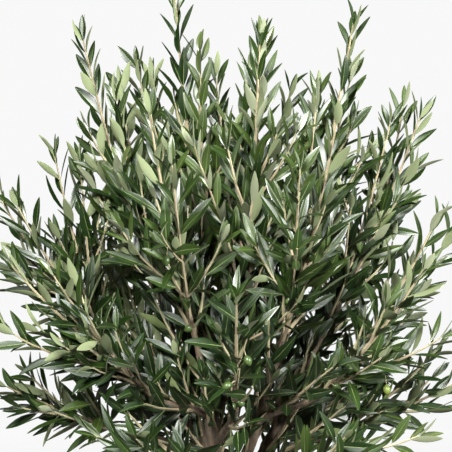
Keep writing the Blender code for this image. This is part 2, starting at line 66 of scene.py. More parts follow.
# Trunk, as in the solids
CLEAR_STEM = 0.50
FORK = SOIL_TOP + CLEAR_STEM
TRUNK_RADIUS = 0.027
FORK_RADIUS = 0.033
FLARE_RADIUS = 0.052
FLARE_HEIGHT = 0.0315
FLARE_FALL = 1.3
FLARE_LOBES = 5
FLARE_LOBE_DEPTH = 0.20
LOBE_HEIGHT = 0.07
OVAL_DEPTH = 0.05
OVAL_TWIST = 5.0
RIB_DEPTH = 0.03
RIB_TWIST = 7.0
TRUNK_TAPER = 0.06
SWELL_STARTS = 0.75
TRUNK_BEND = 0.014
TRUNK_SIDE_BEND = 0.6
HEAD_HEIGHT = 0.7

# Boughs, as in the solids
MAIN_BOUGH_RADIUS = 0.0160
SIDE_BOUGH_RADIUS = 0.0098
BOUGH_TIP_RADIUS = 0.0062
BOUGH_TAPER = 0.8
BOUGH_SPREAD = math.radians(17)
BOUGH_FOLLOWS_PARENT = 0.45

# The crown's lines, as in the solids
HEART_ABOVE_FORK = 0.05
LINE_BOW_OUT = 0.60
LINE_BOW_UP = 0.36
MASS_STARTS = 0.42

# Each mass of foliage: its leading tip's bearing, reach and height over the fork, and what its bough
# leaves, and where
CROWN = {
    "top_left": (172, 0.131, 1.047, "trunk", 1.00),
    "shoulder_left": (184, 0.335, 0.987, "trunk", 0.97),
    "shoulder_right": (356, 0.406, 0.811, "trunk", 0.93),
    "shoulder_back_left": (126, 0.330, 0.930, "trunk", 0.95),
    "shoulder_front_left": (238, 0.330, 0.800, "trunk", 0.91),
    "shoulder_front_right": (306, 0.350, 0.790, "trunk", 0.96),
    "top_right": (4, 0.264, 1.028, "shoulder_right", 0.40),
    "top_front": (288, 0.165, 0.960, "top_left", 0.45),
    "top_back": (80, 0.170, 0.940, "top_left", 0.62),
    "shoulder_back_right": (54, 0.330, 0.890, "shoulder_back_left", 0.38),
    "side_left": (180, 0.520, 0.633, "shoulder_left", 0.40),
    "side_left_front": (222, 0.490, 0.470, "shoulder_front_left", 0.55),
    "side_front": (270, 0.480, 0.430, "shoulder_front_left", 0.33),
    "side_right_front": (322, 0.480, 0.480, "shoulder_front_right", 0.50),
    "side_right": (3, 0.490, 0.560, "shoulder_right", 0.62),
    "side_right_back": (42, 0.480, 0.560, "shoulder_back_right", 0.55),
    "side_back": (88, 0.490, 0.520, "shoulder_back_left", 0.66),
    "side_left_back": (136, 0.490, 0.560, "shoulder_left", 0.62),
    "low_left": (190, 0.500, 0.217, "shoulder_left", 0.18),
    "low_front_left": (243, 0.460, 0.110, "shoulder_front_left", 0.14),
    "low_front_right": (301, 0.470, 0.110, "shoulder_front_right", 0.20),
    "low_right": (352, 0.485, 0.225, "shoulder_right", 0.16),
    "low_back_right": (48, 0.470, 0.190, "shoulder_back_right", 0.22),
    "low_back_left": (118, 0.470, 0.150, "shoulder_back_left", 0.16),
}

# Long shoots: the mass, how far up its leader each starts, the column and row of the shoot's end in the
# photo's pixels, and that end's depth. The first ones stand out in the photo, and the last ones fill the
# crown's front and back.
LONG_SHOOTS = (
    ("top_left", 0.02, (200, 54), -0.03),
    ("top_back", 0.02, (216, 78), 0.12),
    ("top_back", 0.05, (290, 92), 0.12),
    ("top_left", 0.05, (150, 112), 0.12),
    ("top_front", 0.02, (262, 42), -0.14),
    ("top_right", 0.02, (317, 97), -0.03),
    ("top_right", 0.10, (350, 80), 0.05),
    ("shoulder_back_left", 0.05, (138, 68), 0.12),
    ("shoulder_left", 0.10, (121, 86), 0.05),
    ("shoulder_left", 0.04, (116, 102), -0.04),
    ("shoulder_right", 0.10, (390, 124), -0.05),
    ("shoulder_right", 0.52, (403, 108), 0.02),
    ("side_left", 0.10, (55, 157), 0.03),
    ("side_left", 0.14, (80, 162), 0.00),
    ("side_left", 0.05, (18, 207), -0.10),
    ("side_right", 0.08, (437, 218), -0.10),
    ("side_left_front", 0.05, (12, 265), -0.20),
    ("side_left_front", 0.10, (10, 332), -0.25),
    ("side_right_front", 0.05, (440, 338), -0.20),
    ("low_right", 0.02, (436, 350), -0.12),
    ("low_front_right", 0.05, (418, 436), -0.22),
    ("low_front_left", 0.05, (96, 436), -0.25),
    ("low_front_left", 0.10, (120, 404), -0.20),
    ("low_left", 0.10, (84, 388), -0.15),
    ("low_left", 0.04, (24, 398), -0.05),
    ("side_left_front", 0.20, (66, 348), -0.26),
    ("low_back_left", 0.10, (112, 428), 0.18),
    ("shoulder_front_left", 0.10, (172, 165), -0.38),
    ("shoulder_front_right", 0.10, (300, 170), -0.38),
    ("shoulder_back_left", 0.10, (168, 138), 0.40),
    ("shoulder_back_right", 0.10, (300, 146), 0.40),
    ("side_back", 0.10, (220, 195), 0.50),
    ("side_back", 0.20, (262, 225), 0.52),
    ("side_left_back", 0.10, (120, 205), 0.44),
    ("low_back_left", 0.05, (214, 436), 0.40),
    ("low_back_right", 0.05, (258, 430), 0.40),
    ("side_right_back", 0.10, (330, 200), 0.44),
)

# Leaves and twigs of several masses are joined into one piece of each kind
GROUPS = {
    "top": ("top_left", "top_right", "top_front", "top_back"),
    "shoulder_front": ("shoulder_front_left", "shoulder_front_right", "shoulder_right"),
    "shoulder_back": ("shoulder_left", "shoulder_back_left", "shoulder_back_right"),
    "side_front": ("side_left", "side_left_front", "side_front", "side_right_front"),
    "side_back": ("side_right", "side_right_back", "side_back", "side_left_back"),
    "low": (
        "low_left",
        "low_front_left",
        "low_front_right",
        "low_right",
        "low_back_right",
        "low_back_left",
    ),
}

# Shoots: the rule of the solids, with shoots closer together and one more order of twigs
LEADER_ENDS = 0.96
TALLEST = "top_left"
TALLEST_ENDS = 0.995
LEADER_RADIUS = 0.0064
SHOOT_RADIUS = 0.0046
TWIG_RADIUS = 0.0029
SHOOT_TIP_RADIUS = 0.0017
SHOOT_STEP = 0.022
SIDE_SHOOT_SPACING = 0.085
SIDE_SHOOTS_FROM = 0.0
SIDE_SHOOTS_TO = 0.46
SIDE_SHOOT_ANGLE = math.radians(26)
SIDE_SHOOT_LENGTH = 0.56
SHORTEST_SHOOT = 0.09
HIGH_OVER = 0.75
HIGH_FULLNESS = 0.66
# How many sprays take each of the three middle tints, and the masses with more of the pale or dark ones.
# The tints vary at random from spray to spray, and also paint light and shade: the pale weights are painted
# light on the masses the lamps light most, the dark weights painted shade on shaded masses, and the usual
# weights lean dark, partly as painted shade on the crown's lower and middle parts.
TINT_WEIGHTS = (9, 4, 1)
PAINTED_LIGHT_TINT_WEIGHTS = (6, 5, 2)
PAINTED_SHADE_TINT_WEIGHTS = (12, 2, 0)
# Masses whose leaves take more pale tints, as painted light
PAINTED_LIGHT_MASSES = (
    "top_left",
    "top_right",
    "top_front",
    "shoulder_left",
    "side_right",
    "side_right_front",
    "low_left",
    "low_right",
    "low_front_right",
)
# Masses whose leaves take more dark tints, as painted shade
PAINTED_SHADE_MASSES = (
    "top_back",
    "shoulder_back_left",
    "shoulder_back_right",
    "side_left_front",
    "side_left_back",
    "low_front_left",
)
FULLNESS = {
    "side_left": 0.76,
    "side_left_front": 0.66,
    "side_left_back": 0.85,
    "top_back": 0.50,
    "top_right": 0.52,
    "shoulder_back_left": 0.58,
    "shoulder_back_right": 0.48,
    "shoulder_right": 0.34,
    "shoulder_front_left": 0.54,
    "shoulder_front_right": 0.48,
    "side_front": 0.60,
    "side_right": 0.26,
    "side_right_front": 0.45,
    "side_right_back": 0.35,
    "low_left": 1.00,
    "low_front_left": 1.00,
    "low_front_right": 0.85,
    "low_right": 0.60,
}
TWIG_SPACING = 0.11
TWIG_ANGLE = math.radians(40)
TWIG_LENGTH = 0.50
TWIGS_ON_OVER = 0.20
SHORTEST_TWIG = 0.06
INNER_FROM = 0.26
INNER_TO = 0.96
INNER_SPACING = 0.095
INNER_LENGTH = 0.17
SHOOT_LIFT = 0.55
SHOOT_SIDES = 5
REACH_SPARE = 0.02

# Leaves
LEAF_LENGTH = 0.094
LEAF_WIDTH = 0.0214
LEAF_SPACING = 0.0415
FIRST_LEAF = 0.018
LEAF_ANGLE_LOW = math.radians(48)
LEAF_ANGLE_TIP = math.radians(31)
TIP_PAIR_ANGLE = math.radians(19)
TIP_PAIR_SIZE = 0.58
# How far leaves spread from their shoots in a mass at the fork's height, and in one a metre over it
LOW_LEAF_SPREAD = 1.20
HIGH_LEAF_SPREAD = 0.76
LEAF_SHRINK = 0.30
LEAF_CROWDING = 0.35
LEAF_THICKNESS = 0.04
LIT_FROM = 0.30
LEAF_PUFF = 0.16
LEAF_STATIONS = (0.03, 0.085, 0.16, 0.30, 0.48, 0.66, 0.81, 0.91, 0.965)
PETIOLE_END = 0.085
PETIOLE_HALF_WIDTH = 0.035
BLADE_SKEW = 0.95
BLADE_POINTED = 0.90
RIB_HALF_WIDTH = 0.018
LIMB_MARGIN = 0.001

# Olives
OLIVE_LENGTH = 0.021
OLIVE_RADIUS = 0.0080
OLIVE_STALK = 0.013
OLIVE_SIDES = 14
OLIVE_RINGS = 9
# Olives that show in the photo: the column and row of each one's middle, and whether it has ripened
SHOWN_OLIVES = (
    ((248, 361), False),
    ((257, 388), False),
    ((266, 389), False),
    ((326, 355), False),
    ((387, 390), True),
    ((293, 245), False),
    ((311, 257), False),
    ((166, 261), False),
    ((352, 170), False),
)
SIGHT_RADIUS = 0.009
OLIVE_CLEARANCE = 0.011
# Places of the photo where boughs show between the lowest leaves, by column and row
SHOWN_BOUGHS = ((208, 440), (222, 428), (262, 438), (274, 424))
BOUGH_SIGHT_RADIUS = 0.018
FRUITING = {
    "side_front": 5,
    "shoulder_front_right": 5,
    "low_front_right": 5,
    "side_right_front": 3,
    "low_front_left": 3,
    "shoulder_front_left": 3,
    "side_back": 4,
    "low_right": 2,
    "side_left_back": 3,
    "low_back_right": 3,
}

# The camera: the photo's middle, and how many of its pixels a metre takes at the trunk's distance
PHOTO_SIDE = 452
PHOTO_PIXELS_PER_METRE = 466
FORK_PIXEL = (235, 480)
CAMERA_DISTANCE = 3.2
SENSOR = 36.0

# Light from the sky near the ground and overhead
LOW_SKY = 0.006
HIGH_SKY = 0.06

# The pale wall behind, as the camera sees it, and the floor
WALL_COLOUR = (0.935, 0.940, 0.935)
FLOOR_RADIUS = 7.0
FLOOR_GREY = 0.022
FLOOR_GLOW_NEAR = 0.84

# Leaf colours, as linear RGB: upper sides from deep to fresh green, under sides, and midribs. The first
# upper and the first under tint, the darkest, are painted shade for the leaves of the crown's inner shoots.
UPPER_TINTS = (
    (0.003, 0.012, 0.000),
    (0.004, 0.016, 0.000),
    (0.010, 0.026, 0.001),
    (0.026, 0.048, 0.006),
    (0.054, 0.077, 0.020),
)
UNDER_TINTS = (
    (0.070, 0.092, 0.032),
    (0.150, 0.178, 0.090),
    (0.190, 0.212, 0.130),
    (0.210, 0.222, 0.158),
)
RIB_TINT = (0.19, 0.22, 0.09)
GREEN_OLIVE_COLOURS = ((0.025, 0.046, 0.011), (0.048, 0.080, 0.020))
RIPE_OLIVE_COLOURS = ((0.055, 0.095, 0.010), (0.130, 0.165, 0.032))
OLIVE_DOT_COLOUR = (0.22, 0.26, 0.12)
TWIG_TINTS = (
    (0.120, 0.090, 0.055),
    (0.245, 0.205, 0.128),
    (0.265, 0.240, 0.145),
)


# Curves of the solids


def upright(bearing_degrees, radius, height):
    bearing = math.radians(bearing_degrees)
    return Vector((radius * math.cos(bearing), radius * math.sin(bearing), height))


def crown_line(name, share):
    """A point of the bowed line from the crown's heart to a mass's tip."""
    bearing, reach, rise = CROWN[name][:3]
    heart = Vector((0.0, 0.0, FORK + HEART_ABOVE_FORK))
    tip = upright(bearing, reach, FORK + rise)
    climb = rise - HEART_ABOVE_FORK
    bow = heart + upright(bearing, LINE_BOW_OUT * reach, LINE_BOW_UP * climb)
    rest = 1.0 - share
    return heart * rest * rest + bow * 2.0 * rest * share + tip * share * share


def crown_line_direction(name, share):
    step = 0.01
    return (crown_line(name, share + step) - crown_line(name, share - step)).normalized()


def hermite(start, start_way, end, end_way, share):
    """A point of the smooth curve that leaves start along start_way and reaches end along end_way."""
    span = (end - start).length
    square = share * share
    cube = square * share
    return (
        start * (2 * cube - 3 * square + 1)
        + start_way * (span * (cube - 2 * square + share))
        + end * (3 * square - 2 * cube)
        + end_way * (span * (cube - square))
    )


def trunk_point(share):
    """A point of the trunk's axis, which leans and bends back over its foot."""
    swing = TRUNK_BEND * math.sin(math.pi * 1.5 * share)
    back = -TRUNK_SIDE_BEND * swing * share
    return Vector((swing, back, SOIL_TOP + GAP + share * (CLEAR_STEM - GAP)))


def trunk_radius(share):
    height = share * CLEAR_STEM
    flare = (FLARE_RADIUS - TRUNK_RADIUS) * math.exp(-((height / FLARE_HEIGHT) ** FLARE_FALL))
    swollen = max(0.0, (share - SWELL_STARTS) / (1.0 - SWELL_STARTS)) ** 2
    swell = (FORK_RADIUS - TRUNK_RADIUS) * swollen
    return TRUNK_RADIUS * (1.0 + TRUNK_TAPER * (1.0 - share)) + flare + swell


def bough_curve(name):
    """Where a bough starts and ends, both with their directions, and how thick it starts."""
    bearing, _, _, parent, leaves_at = CROWN[name]
    end = crown_line(name, MASS_STARTS)
    end_way = crown_line_direction(name, MASS_STARTS)
    if parent == "trunk":
        start = trunk_point(leaves_at)
        chord = end - start
        lean = math.atan2(math.hypot(chord.x, chord.y), chord.z) + BOUGH_SPREAD
        return start, upright(bearing, math.sin(lean), math.cos(lean)), end, end_way, MAIN_BOUGH_RADIUS
    parent_curve = bough_curve(parent)[:4]
    start = hermite(*parent_curve, leaves_at)
    parent_way = (hermite(*parent_curve, leaves_at + 0.02) - start).normalized()
    start_way = (parent_way * BOUGH_FOLLOWS_PARENT + (end - start).normalized()).normalized()
    return start, start_way, end, end_way, SIDE_BOUGH_RADIUS


def bough_line(name, rings):
    """Points and radii of the bough that carries a mass."""
    *curve, thick = bough_curve(name)
    shares = [index / (rings - 1) for index in range(rings)]
    points = [hermite(*curve, share) for share in shares]
    return points, [thick + (BOUGH_TIP_RADIUS - thick) * share**BOUGH_TAPER for share in shares]


# Meshes from arrays


class Piece:
    """Collects corners and faces of many small shapes, and makes one object of them."""

    def __init__(self):
        self.corners = []
        self.loops = []
        self.sizes = []
        self.kinds = []
        self.count = 0

    def add(self, corners, faces, kinds):
        """Adds a shape: corners as an array, faces as equal-length rows of places in it, a material each."""
        self.corners.append(np.asarray(corners, np.float32).reshape(-1, 3))
        self.add_faces(faces, kinds)
        self.count += len(self.corners[-1])

    def add_faces(self, faces, kinds):
        faces = np.asarray(faces, np.int64)
        self.loops.append((faces + self.count).ravel())
        self.sizes.append(np.full(len(faces), faces.shape[1]))
        self.kinds.append(np.broadcast_to(np.asarray(kinds), len(faces)))

    def add_mixed(self, corners, parts):
        """Adds one set of corners with several sets of faces, each (faces, kinds)."""
        for faces, kinds in parts:
            self.add_faces(faces, kinds)
        self.corners.append(np.asarray(corners, np.float32).reshape(-1, 3))
        self.count += len(self.corners[-1])

    def make(self, name, materials, sharp_angle):
        corners = np.concatenate(self.corners)
        loops = np.concatenate(self.loops).astype(np.int32)
        sizes = np.concatenate(self.sizes)
        starts = np.concatenate([[0], np.cumsum(sizes)[:-1]]).astype(np.int32)
        mesh = bpy.data.meshes.new(name)
        mesh.vertices.add(len(corners))
        mesh.vertices.foreach_set("co", corners.ravel())
        mesh.loops.add(len(loops))
        mesh.loops.foreach_set("vertex_index", loops)
        mesh.polygons.add(len(sizes))
        mesh.polygons.foreach_set("loop_start", starts)
        mesh.polygons.foreach_set("material_index", np.concatenate(self.kinds).astype(np.int32))
        mesh.update(calc_edges=True)
        for made in materials:
            mesh.materials.append(made)
        mesh.shade_smooth()
        mesh.set_sharp_from_angle(angle=math.radians(sharp_angle))
        piece = bpy.data.objects.new(name, mesh)
        bpy.context.scene.collection.objects.link(piece)
        return piece


def swept_rings(points, radii, sides, relief=None):
    """Rings of corners round a line, as an array (rings, sides, 3). Relief scales each corner's radius."""
    points = np.array([tuple(point) for point in points])
    ways = np.empty_like(points)
    ways[1:-1] = points[2:] - points[:-2]
    ways[0] = points[1] - points[0]
    ways[-1] = points[-1] - points[-2]
    ways /= np.linalg.norm(ways, axis=1)[:, None]
    across = np.array(tuple(Vector(ways[0]).orthogonal().normalized()))
    angles = np.arange(sides) * (2 * math.pi / sides)
    rings = np.empty((len(points), sides, 3))
    for index, way in enumerate(ways):
        across = across - way * across.dot(way)
        across /= np.linalg.norm(across)
        beside = np.cross(way, across)
        spokes = np.cos(angles)[:, None] * across + np.sin(angles)[:, None] * beside
        wide = radii[index] if relief is None else radii[index] * relief(index, angles)[:, None]
        rings[index] = points[index] + spokes * wide
    return rings


def tube_faces(ring_count, sides):
    """Four-sided faces of the skin over rings of corners."""
    low = np.arange(ring_count - 1)[:, None] * sides + np.arange(sides)
    following = np.arange(ring_count - 1)[:, None] * sides + (np.arange(sides) + 1) % sides
    return np.stack([low, following, following + sides, low + sides], axis=2).reshape(-1, 4)


def add_tube(piece, points, radii, sides, kinds, relief=None):
    """Adds a limb with closed ends. Kinds gives the material of each stretch between two rings."""
    rings = swept_rings(points, radii, sides, relief)
    count = len(points)
    corners = np.concatenate([rings.reshape(-1, 3), [tuple(points[0])], [tuple(points[-1])]])
    around = np.arange(sides)
    following = (around + 1) % sides
    foot = np.stack([following, around, np.full(sides, count * sides)], axis=1)
    last = (count - 1) * sides
    head = np.stack([around + last, following + last, np.full(sides, count * sides + 1)], axis=1)
    stretches = np.repeat(np.broadcast_to(kinds, count - 1), sides)
    ends = (np.atleast_1d(kinds)[0], np.atleast_1d(kinds)[-1])
    piece.add_mixed(
        corners, [(tube_faces(count, sides), stretches), (foot, ends[0]), (head, ends[1])]
    )


# Materials


class Nodes:
    """A material's node tree, with short ways to add and join nodes."""

    def __init__(self, name, colour, roughness):
        self.material = bpy.data.materials.new(name)
        self.material.use_nodes = True
        self.tree = self.material.node_tree
        self.shader = self.tree.nodes["Principled BSDF"]
        self.shader.inputs["Base Color"].default_value = (*colour, 1.0)
        self.shader.inputs["Roughness"].default_value = roughness
        self.place = self.tree.nodes.new("ShaderNodeTexCoord").outputs["Object"]

    def node(self, kind, settings=None, links=None):
        made = self.tree.nodes.new(kind)
        for key, value in (settings or {}).items():
            if key in made.inputs:
                made.inputs[key].default_value = value
            else:
                setattr(made, key, value)
        for key, source in (links or {}).items():
            self.tree.links.new(source, made.inputs[key])
        return made

    def noise(self, scale, detail=3.0, roughness=0.55, place=None):
        settings = {"Scale": scale, "Detail": detail, "Roughness": roughness}
        return self.node("ShaderNodeTexNoise", settings, {"Vector": place or self.place}).outputs["Fac"]

    def stretched(self, x, y, z):
        """The place with each axis scaled, which draws a pattern out along an axis."""
        return self.node(
            "ShaderNodeMapping", {"Scale": (x, y, z)}, {"Vector": self.place}
        ).outputs["Vector"]

    def ramp(self, source, stops):
        """A colour ramp from (place, colour) stops."""
        made = self.node("ShaderNodeValToRGB", links={"Fac": source})
        elements = made.color_ramp.elements
        while len(elements) < len(stops):
            elements.new(0.5)
        for element, (place, colour) in zip(elements, stops):
            element.position = place
            element.color = (*colour, 1.0)
        return made.outputs["Color"]

    def range(self, source, low, high):
        made = self.node("ShaderNodeMapRange", {"To Min": low, "To Max": high}, {"Value": source})
        return made.outputs["Result"]

    def mixed(self, factor, first, second):
        made = self.node("ShaderNodeMix", {"data_type": "RGBA"})
        self.tree.links.new(factor, made.inputs[0])
        self.tree.links.new(first, made.inputs[6])
        self.tree.links.new(second, made.inputs[7])
        return made.outputs[2]

    def bump(self, height, strength, distance):
        settings = {"Strength": strength, "Distance": distance}
        made = self.node("ShaderNodeBump", settings, {"Height": height})
        self.tree.links.new(made.outputs["Normal"], self.shader.inputs["Normal"])

    def set(self, socket, source):
        self.tree.links.new(source, self.shader.inputs[socket])


def leaf_upper(number):
    """The dark, waxy upper side of a leaf. Its colour is plain, and its gloss and grain vary."""
    nodes = Nodes(f"leaf_upper_{number}", UPPER_TINTS[number], 0.4)
    nodes.set("Roughness", nodes.range(nodes.noise(90.0), 0.38 - 0.02 * number, 0.52 - 0.03 * number))
    nodes.shader.inputs["Specular IOR Level"].default_value = 0.50 + 0.10 * number
    nodes.bump(nodes.noise(260.0, 3.0), 0.20, 0.0005)
    return nodes.material


def leaf_under(number):
    """The pale, felted under side of a leaf, darkest in the first tint as painted shade inside the crown."""
    nodes = Nodes(f"leaf_under_{number}", UNDER_TINTS[number], 0.75)
    nodes.set("Roughness", nodes.range(nodes.noise(120.0), 0.62, 0.88))
    nodes.shader.inputs["Specular IOR Level"].default_value = 0.3
    nodes.bump(nodes.noise(400.0, 2.0), 0.20, 0.0004)
    return nodes.material


def leaf_rib():
    nodes = Nodes("leaf_rib", RIB_TINT, 0.5)
    nodes.set("Roughness", nodes.range(nodes.noise(150.0), 0.4, 0.65))
    return nodes.material


def twig_bark(number):
    """Bark of shoots: grey-brown where old, pale in the middle and yellowish where young."""
    red, green, blue = TWIG_TINTS[number]
    nodes = Nodes(f"twig_bark_{number}", TWIG_TINTS[number], 0.75)
    grain = nodes.noise(420.0, 4.0)
    dark = (red * 0.72, green * 0.70, blue * 0.66)
    light = (min(1, red * 1.2), min(1, green * 1.2), min(1, blue * 1.2))
    nodes.set("Base Color", nodes.ramp(grain, [(0.3, dark), (0.7, light)]))
    nodes.bump(grain, 0.4, 0.0006)
    return nodes.material


def bark():
    """Grey-brown bark with darker furrows along the limb and paler, lichened ridges."""
    nodes = Nodes("bark", (0.20, 0.15, 0.11), 0.9)
    long_grain = nodes.noise(70.0, 6.0, 0.6, nodes.stretched(1.0, 1.0, 0.22))
    patches = nodes.noise(14.0, 4.0)
    fine = nodes.noise(340.0, 4.0, 0.6)
    grey = nodes.ramp(
        long_grain,
        [(0.30, (0.022, 0.016, 0.011)), (0.50, (0.070, 0.052, 0.034)), (0.74, (0.165, 0.128, 0.085))],
    )
    brown = nodes.ramp(
        long_grain,
        [(0.30, (0.020, 0.013, 0.008)), (0.52, (0.072, 0.048, 0.028)), (0.76, (0.155, 0.108, 0.064))],
    )
    nodes.set("Base Color", nodes.mixed(nodes.range(patches, -0.2, 1.2), grey, brown))
    height = nodes.node("ShaderNodeMath", {"operation": "ADD"})
    nodes.tree.links.new(long_grain, height.inputs[0])
    nodes.tree.links.new(nodes.range(fine, 0.0, 0.35), height.inputs[1])
    nodes.bump(height.outputs[0], 0.7, 0.004)
    nodes.set("Roughness", nodes.range(fine, 0.78, 0.98))
    return nodes.material


def clay():
    """Unglazed clay: warm red, speckled, with pale bloom in clouds and faint rings from the wheel."""
    nodes = Nodes("clay", (0.46, 0.20, 0.11), 0.85)
    clouds = nodes.noise(7.0, 6.0, 0.6)
    speckle = nodes.noise(260.0, 3.0)
    rings = nodes.noise(60.0, 3.0, 0.5, nodes.stretched(0.15, 0.15, 1.6))
    base = nodes.ramp(
        clouds,
        [(0.30, (0.36, 0.140, 0.070)), (0.52, (0.47, 0.205, 0.112)), (0.74, (0.56, 0.34, 0.235))],
    )
    grain = nodes.ramp(speckle, [(0.36, (0.30, 0.115, 0.06)), (0.62, (0.55, 0.27, 0.16))])
    nodes.set("Base Color", nodes.mixed(nodes.range(speckle, 0.05, 0.40), base, grain))
    height = nodes.node("ShaderNodeMath", {"operation": "ADD"})
    nodes.tree.links.new(nodes.range(rings, 0.0, 1.0), height.inputs[0])
    nodes.tree.links.new(nodes.range(speckle, 0.0, 0.3), height.inputs[1])
    nodes.bump(height.outputs[0], 0.35, 0.0016)
    nodes.set("Roughness", nodes.range(clouds, 0.75, 0.95))
    return nodes.material


def earth():
    """Dark, crumbly potting soil."""
    nodes = Nodes("earth", (0.045, 0.030, 0.021), 0.95)
    crumbs = nodes.noise(170.0, 6.0, 0.65)
    damp = nodes.noise(18.0, 3.0)
    dry = nodes.ramp(crumbs, [(0.32, (0.018, 0.011, 0.008)), (0.55, (0.060, 0.040, 0.027)), (0.78, (0.14, 0.10, 0.07))])
    wet = nodes.ramp(crumbs, [(0.32, (0.010, 0.007, 0.005)), (0.78, (0.060, 0.041, 0.029))])
    nodes.set("Base Color", nodes.mixed(damp, dry, wet))
    nodes.bump(crumbs, 0.9, 0.004)
    return nodes.material


def olive_skin(name, deep, fresh):
    """A dull olive, blushed from a deep to a fresh colour, with fine pale dots."""
    nodes = Nodes(name, deep, 0.35)
    dots = nodes.noise(900.0, 2.0)
    blush = nodes.noise(45.0, 2.0)
    green = nodes.ramp(blush, [(0.35, deep), (0.65, fresh)])
    pale = nodes.ramp(dots, [(0.60, fresh), (0.72, OLIVE_DOT_COLOUR)])
    nodes.set("Base Color", nodes.mixed(nodes.range(dots, 0.0, 0.4), green, pale))
    nodes.set("Roughness", nodes.range(blush, 0.28, 0.42))
    return nodes.material


# Growing


def camera_place():
    """The camera stands level before the crown, with the photo's middle in its own."""
    right = (PHOTO_SIDE / 2 - FORK_PIXEL[0]) / PHOTO_PIXELS_PER_METRE
    above = (FORK_PIXEL[1] - PHOTO_SIDE / 2) / PHOTO_PIXELS_PER_METRE
    return Vector((right, -CAMERA_DISTANCE, FORK + above))


def seen_place(pixel, depth):
    """The place at a depth that shows at a column and row of the photo."""
    camera = camera_place()
    scale = (CAMERA_DISTANCE + depth) / (CAMERA_DISTANCE * PHOTO_PIXELS_PER_METRE)
    right = (pixel[0] - PHOTO_SIDE / 2) * scale
    down = (pixel[1] - PHOTO_SIDE / 2) * scale
    return Vector((camera.x + right, depth, camera.z - down))


class Shoot:
    """A shoot's line and thickness, with what it is to its mass."""

    def __init__(self, points, thick, tip, order, tint):
        self.points = points
        self.lengths = [0.0]
        for before, after in zip(points, points[1:]):
            self.lengths.append(self.lengths[-1] + (after - before).length)
        self.length = self.lengths[-1]
        self.radii = [thick + (tip - thick) * length / self.length for length in self.lengths]
        self.order = order
        self.tint = tint

    def at(self, distance):
        """The point and direction at a distance along the shoot."""
        index = 0
        while index < len(self.points) - 2 and distance > self.lengths[index + 1]:
            index += 1
        span = self.lengths[index + 1] - self.lengths[index]
        way = self.points[index + 1] - self.points[index]
        return self.points[index] + way * ((distance - self.lengths[index]) / span), way.normalized()


def side_way(way, turn, angle):
    """A direction that leaves way by an angle. Turn 0 lies level, and turn 90 degrees points up."""
    level = Vector((0, 0, 1)).cross(way)
    level = level.normalized() if level.length > 0.2 else way.orthogonal().normalized()
    beside = level * math.cos(turn) + way.cross(level) * -math.sin(turn)
    return (way * math.cos(angle) + beside * math.sin(angle)).normalized()


def grown_line(draw, start, first_way, end_way, length):
    """Points of a shoot that turns from one direction to another, with small kinks at its joints."""
    steps = max(3, round(length / SHOOT_STEP))
    points = [start]
    for step in range(steps):
        heading = first_way.lerp(end_way, (step + 0.5) / steps)
        kink = Vector((draw.gauss(0, 1), draw.gauss(0, 1), draw.gauss(0, 1))) * 0.035
        points.append(points[-1] + (heading + kink).normalized() * (length / steps))
    return points


def inside(point, box, spare):
    low, high = box
    return all(low[axis] - spare < point[axis] < high[axis] + spare for axis in range(3))


def side_shoot(draw, parent, distance, turn, angle, length, order, tint, box):
    """A shoot from a parent's side, cut shorter until it ends inside the box, or None if it can't."""
    start, way = parent.at(distance)
    first_way = side_way(way, turn, angle)
    end_way = (first_way + (way + Vector((0, 0, 0.5))) * SHOOT_LIFT).normalized()
    shortest = SHORTEST_SHOOT if order < 2 else SHORTEST_TWIG
    thick = SHOOT_RADIUS if order < 2 else TWIG_RADIUS
    while length >= shortest:
        points = grown_line(draw, start, first_way, end_way, length)
        if inside(points[-1], box, REACH_SPARE):
            return Shoot(points, thick, SHOOT_TIP_RADIUS, order, tint)
        length *= 0.8
    return None


def leading_shoot(name, tint):
    """The mass's stem, from its bough's tip up to where its last leaves reach the mass's tip."""
    start = crown_line(name, MASS_STARTS)
    ends = TALLEST_ENDS if name == TALLEST else LEADER_ENDS
    steps = round((crown_line(name, ends) - start).length / SHOOT_STEP)
    shares = [MASS_STARTS + (ends - MASS_STARTS) * step / steps for step in range(steps + 1)]
    points = [crown_line(name, share) for share in shares]
    points[0] = start + crown_line_direction(name, MASS_STARTS) * GAP
    return Shoot(points, LEADER_RADIUS, SHOOT_TIP_RADIUS, 0, tint)


def some_tint(draw, name):
    """A spray's upper tint, which depends on its mass: paler as painted light, darker as painted shade."""
    weights = TINT_WEIGHTS
    if name in PAINTED_LIGHT_MASSES:
        weights = PAINTED_LIGHT_TINT_WEIGHTS
    if name in PAINTED_SHADE_MASSES:
        weights = PAINTED_SHADE_TINT_WEIGHTS
    return draw.choices(range(1, 4), weights)[0]


